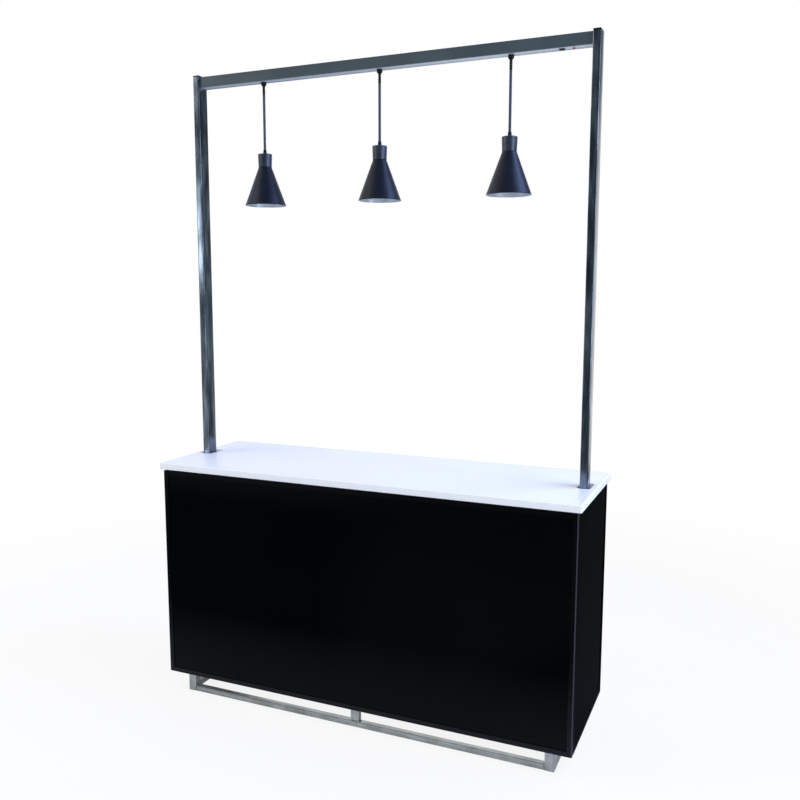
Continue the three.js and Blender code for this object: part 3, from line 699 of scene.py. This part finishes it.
add_node(tree, "ShaderNodeOutputMaterial", {"Surface": shader})
dress("gantry_beam", slate)


# Switch: a round nylon bezel snapped into the beam's underside near its right end, with a rocker that
# tips in it. A red lens beside it covers the indicator light.
LENS_FACET = 0.0011

# Moulded acrylic: a clear ruby red over small facets, under a glossy face.
ruby, tree, place = new_material("ruby_red_lens")
facets = add_node(tree, "ShaderNodeTexVoronoi", {"Vector": place, "Scale": 1 / LENS_FACET})
red = add_node(tree, "ShaderNodeValToRGB", {"Fac": facets}, [(0.0, "#d3222e"), (1.0, "#8f0f18")])
shader = add_node(tree, "ShaderNodeBsdfPrincipled", {
    "Base Color": red, "Roughness": 0.15, "Coat Weight": 0.6,
})
add_node(tree, "ShaderNodeOutputMaterial", {"Surface": shader})

dress("switch_bezel", moulded)
dress("switch_rocker", moulded)
dress("switch_indicator", ruby)


# Lamp swivels: a moulded nylon ball under the beam lets each lamp hang straight. The gland below it has
# three grooves round it and grips the cord.
LAMPS = ("left", "middle", "right")
BALL_RADIUS = 0.012
GLAND_RADIUS = 0.006
GLAND_BEVEL = 0.001
GLAND_GROOVES = 3
GLAND_GROOVE_DEPTH = 0.0009
GLAND_GROOVE_SLOPE = 0.2
MERGE_DISTANCE = 1e-7


def turned(name, centre, profile, finishes, bands=None, segments=72):
    """A turned piece: (radius, height) pairs up its outside. bands gives each stretch its finish's number."""
    shape = bmesh.new()
    rings = []
    for radius, height in profile:
        if radius < MERGE_DISTANCE:
            rings.append([shape.verts.new((centre.x, centre.y, height))])
            continue
        ring = []
        for i in range(segments):
            angle = 2 * math.pi * i / segments
            ring.append(shape.verts.new((
                centre.x + radius * math.cos(angle), centre.y + radius * math.sin(angle), height)))
        rings.append(ring)
    for band, (lower, upper) in enumerate(zip(rings, rings[1:])):
        for i in range(segments):
            j = (i + 1) % segments
            corners = [lower[i % len(lower)], lower[j % len(lower)],
                       upper[j % len(upper)], upper[i % len(upper)]]
            corners = list(dict.fromkeys(corners))
            if len(corners) > 2:
                face = shape.faces.new(corners)
                face.smooth = True
                face.material_index = bands[band] if bands else 0
    bmesh.ops.remove_doubles(shape, verts=shape.verts, dist=MERGE_DISTANCE)
    bmesh.ops.recalc_face_normals(shape, faces=shape.faces)
    return as_piece(name, shape, finishes)


def arc(radius, height, size, start, end, steps):
    """Profile points on an arc about (radius, height), from one angle to another in degrees."""
    points = []
    for i in range(steps + 1):
        angle = math.radians(start + (end - start) * i / steps)
        points.append((radius + size * math.cos(angle), height + size * math.sin(angle)))
    return points


for side in LAMPS:
    low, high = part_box(f"{side}_lamp_swivel")
    middle = (low + high) / 2
    ball = high.z - BALL_RADIUS
    start = -90 + math.degrees(math.asin(GLAND_RADIUS / BALL_RADIUS))
    neck = ball + BALL_RADIUS * math.sin(math.radians(start))
    pitch = (neck - low.z) / (2 * GLAND_GROOVES + 1)
    groove_radius = GLAND_RADIUS - GLAND_GROOVE_DEPTH
    profile = [(0, low.z), (GLAND_RADIUS - GLAND_BEVEL, low.z), (GLAND_RADIUS, low.z + GLAND_BEVEL)]
    for groove in range(GLAND_GROOVES):
        foot = low.z + pitch * (2 * groove + 1)
        profile += [(GLAND_RADIUS, foot), (groove_radius, foot + GLAND_GROOVE_SLOPE * pitch),
                    (groove_radius, foot + (1 - GLAND_GROOVE_SLOPE) * pitch), (GLAND_RADIUS, foot + pitch)]
    profile += arc(0, ball, BALL_RADIUS, start, 90, steps=18)
    swivel = turned(f"{side}_swivel", middle, profile, [moulded], segments=40)
    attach(swivel, f"{side}_lamp")
    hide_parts(f"{side}_lamp_swivel")


# Lamp cords: a round flexible cord in a sleeve of black braided textile. It hangs taut between the
# gland and the strain relief on the lamp's cap.
CORD_DIAMETER = 0.011
CORD_POINTS = 15
BRAID_PITCH = 0.00257
DIAGONAL_BAND = 2 * math.pi / (10 * math.sqrt(3))

# Braided textile: slanting strands, with painted shade darkening the creases between them, and a soft
# sheen at the cord's edges. The strands are drawn wider than real ones, so that they show.
braid, tree, place = new_material("black_textile_braid")
strands = add_node(tree, "ShaderNodeTexWave", {
    "Vector": place, "Scale": DIAGONAL_BAND / BRAID_PITCH, "Distortion": 1.5,
}, wave_type="BANDS", bands_direction="DIAGONAL").outputs["Fac"]
# Painted shade: the creases between strands are darker and the crowns lighter.
crease_shaded_strands = add_node(tree, "ShaderNodeValToRGB", {"Fac": strands}, [(0.0, "#1e2330"), (1.0, "#485068")])
bump = add_node(tree, "ShaderNodeBump", {"Height": strands, "Strength": 0.4, "Distance": 0.0004})
shader = add_node(tree, "ShaderNodeBsdfPrincipled", {
    "Base Color": crease_shaded_strands, "Roughness": 0.62, "Sheen Weight": 0.25, "Normal": bump,
})
add_node(tree, "ShaderNodeOutputMaterial", {"Surface": shader})

for side in LAMPS:
    low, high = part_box(f"{side}_lamp_cord")
    middle = (low + high) / 2
    curve = bpy.data.curves.new(f"{side}_cord", "CURVE")
    curve.dimensions = "3D"
    curve.bevel_depth = CORD_DIAMETER / 2
    curve.bevel_resolution = 5
    curve.use_fill_caps = True
    line = curve.splines.new("POLY")
    line.points.add(CORD_POINTS - 1)
    for i, point in enumerate(line.points):
        height = high.z + (low.z - high.z) * i / (CORD_POINTS - 1)
        point.co = (middle.x, middle.y, height, 1)
    cord = bpy.data.objects.new(f"{side}_cord", curve)
    scene.collection.objects.link(cord)
    curve.materials.append(braid)
    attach(cord, f"{side}_lamp")
    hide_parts(f"{side}_lamp_cord")


# Lamp caps: a metal cup that widens a little to the top, powder-coated navy. The moulded lamp holder is
# fixed below it, and a moulded strain relief grips the cord above it.
CAP_FOOT_RADIUS = 0.0285
CAP_SHOULDER = 0.003
CAP_HEIGHT = 0.056
CAP_BEVEL = 0.001
RELIEF_HEIGHT = 0.018
RELIEF_FOOT_RADIUS = 0.008
RELIEF_TOP_RADIUS = 0.007
HOLDER_RADIUS = 0.016
COAT_CLOUD = 0.0455
ORANGE_PEEL = 0.0014


def powder_coat(name, dark, light, roughness, shine):
    """Powder coat, baked on: slow changes of tone under the fine orange peel of the melted powder.

    The peel is drawn coarse enough to show."""
    material, tree, place = new_material(name)
    cloud = add_node(tree, "ShaderNodeTexNoise", {"Vector": place, "Scale": 1 / COAT_CLOUD, "Detail": 3.0})
    peel = add_node(tree, "ShaderNodeTexNoise", {"Vector": place, "Scale": 1 / ORANGE_PEEL, "Detail": 1.0})
    tone = add_node(tree, "ShaderNodeValToRGB", {"Fac": cloud}, [(0.3, dark), (0.7, light)])
    bump = add_node(tree, "ShaderNodeBump", {"Height": peel, "Strength": 0.2, "Distance": 0.0002})
    shader = add_node(tree, "ShaderNodeBsdfPrincipled", {
        "Base Color": tone, "Roughness": roughness, "Specular IOR Level": shine, "Normal": bump,
    })
    add_node(tree, "ShaderNodeOutputMaterial", {"Surface": shader})
    return material


navy_cap = powder_coat("navy_powder_coat_cap", "#19222f", "#243046", roughness=0.36, shine=0.8)
for side in LAMPS:
    low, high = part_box(f"{side}_lamp_cap")
    middle = (low + high) / 2
    top_radius = (high.x - low.x) / 2
    cap_top = high.z - RELIEF_HEIGHT
    cap_foot = cap_top - CAP_HEIGHT
    holder = [(0, low.z), (HOLDER_RADIUS - CAP_BEVEL, low.z), (HOLDER_RADIUS, low.z + CAP_BEVEL),
              (HOLDER_RADIUS, cap_foot)]
    cup = [(CAP_FOOT_RADIUS - CAP_BEVEL, cap_foot), (CAP_FOOT_RADIUS, cap_foot + CAP_BEVEL)]
    cup += arc(top_radius - CAP_SHOULDER, cap_top - CAP_SHOULDER, CAP_SHOULDER, 0, 90, steps=6)
    relief = [(RELIEF_FOOT_RADIUS, cap_top), (RELIEF_TOP_RADIUS, high.z - CAP_BEVEL),
              (RELIEF_TOP_RADIUS - CAP_BEVEL, high.z), (0, high.z)]
    bands = [1] * (len(holder) - 1) + [0] * (len(cup) + 1) + [1] * (len(relief) - 1)
    cap = turned(f"{side}_cap", middle, holder + cup + relief, [navy_cap, moulded], bands)
    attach(cap, f"{side}_lamp")
    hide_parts(f"{side}_lamp_cap")


# Lamp shades: a cone spun from thin metal sheet, with its rim rolled to a bead. It is powder-coated navy
# outside and silvered inside.
SHADE_TOP_RADIUS = 0.0285
SHADE_WALL = 0.0016
SHADE_NECK_RADIUS = 0.020
SHADE_BEVEL = 0.001
BEAD_RADIUS = 0.0018
SPUN_LENGTH = 0.0167
SPUN_WIDTH = 0.00056

navy_shade = powder_coat("navy_powder_coat_shade", "#080f1a", "#0d1728", roughness=0.44, shine=0.28)

# Silvered reflector: a soft bright metal with fine rings round the cone from spinning.
silvered, tree, place = new_material("satin_silver_reflector")
ringwise = add_node(tree, "ShaderNodeMapping", {
    "Vector": place, "Scale": (1 / SPUN_LENGTH, 1 / SPUN_LENGTH, 1 / SPUN_WIDTH),
})
spun = add_node(tree, "ShaderNodeTexNoise", {"Vector": ringwise, "Scale": 1.0, "Detail": 2.0})
silver = add_node(tree, "ShaderNodeValToRGB", {"Fac": spun}, [(0.3, "#d3dfeb"), (0.7, "#f3f7fb")])
shader = add_node(tree, "ShaderNodeBsdfPrincipled", {
    "Base Color": silver, "Metallic": 0.6, "Roughness": 0.28,
})
add_node(tree, "ShaderNodeOutputMaterial", {"Surface": shader})

for side in LAMPS:
    low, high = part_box(f"{side}_lamp_shade")
    middle = (low + high) / 2
    rim = (high.x - low.x) / 2
    slope = math.atan2(high.z - low.z, rim - SHADE_TOP_RADIUS)
    across = SHADE_WALL / math.sin(slope)
    bead = low.z + BEAD_RADIUS
    rim_top = bead + BEAD_RADIUS
    crown = high.z - SHADE_WALL
    grow = (rim - SHADE_TOP_RADIUS) / (high.z - low.z)
    outer_rim = rim - grow * (rim_top - low.z)
    inside = [(SHADE_NECK_RADIUS, crown), (SHADE_TOP_RADIUS + grow * SHADE_WALL - across, crown),
              (outer_rim - across, rim_top)]
    lip = arc(rim - BEAD_RADIUS, bead, BEAD_RADIUS, 180, 360, steps=10)
    outside = [(outer_rim, rim_top), (SHADE_TOP_RADIUS, high.z - SHADE_BEVEL),
               (SHADE_TOP_RADIUS - SHADE_BEVEL, high.z), (SHADE_NECK_RADIUS, high.z),
               (SHADE_NECK_RADIUS, crown)]
    profile = inside + lip + outside
    silver_bands = len(inside) + len(lip) // 2
    bands = [1] * silver_bands + [0] * (len(profile) - 1 - silver_bands)
    shade = turned(f"{side}_shade", middle, profile, [navy_shade, silvered], bands, segments=96)
    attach(shade, f"{side}_lamp")
    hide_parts(f"{side}_lamp_shade")


# Lamp bulbs: a globe that runs smoothly into a straight neck, and screws into the lamp holder inside
# the shade. Globe and neck are the same frosted white.
BULB_RADIUS = 0.030
BULB_SHOULDER_ANGLE = 42
BULB_NECK_RADIUS = 0.013
BULB_NECK_LENGTH = 0.012
BULB_EASE_STEPS = 8
OPAL_HAZE = 0.0083
OPAL_DEPTH = 0.006

# Opal globe: a warm milky white with a soft shine, and light that spreads a little below its face.
opal, tree, place = new_material("frosted_opal_globe")
haze = add_node(tree, "ShaderNodeTexNoise", {"Vector": place, "Scale": 1 / OPAL_HAZE, "Detail": 1.0})
milk = add_node(tree, "ShaderNodeValToRGB", {"Fac": haze}, [(0.2, "#ece9e0"), (0.8, "#f7f5ef")])
shader = add_node(tree, "ShaderNodeBsdfPrincipled", {
    "Base Color": milk, "Roughness": 0.32, "Subsurface Weight": 0.2, "Subsurface Radius": [OPAL_DEPTH] * 3,
})
add_node(tree, "ShaderNodeOutputMaterial", {"Surface": shader})

for side in LAMPS:
    low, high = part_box(f"{side}_lamp_bulb")
    middle = (low + high) / 2
    globe = low.z + BULB_RADIUS
    profile = arc(0, globe, BULB_RADIUS, -90, BULB_SHOULDER_ANGLE, steps=20)
    shoulder_radius, shoulder_height = profile[-1]
    neck_foot = high.z - BULB_NECK_LENGTH
    for i in range(1, BULB_EASE_STEPS + 1):
        t = i / BULB_EASE_STEPS
        ease = 1 - (1 - t) ** 2
        profile.append((shoulder_radius + (BULB_NECK_RADIUS - shoulder_radius) * ease,
                        shoulder_height + (neck_foot - shoulder_height) * t))
    profile += [(BULB_NECK_RADIUS, high.z), (0, high.z)]
    bulb = turned(f"{side}_bulb", middle, profile, [opal], segments=48)
    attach(bulb, f"{side}_lamp")
    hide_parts(f"{side}_lamp_bulb")
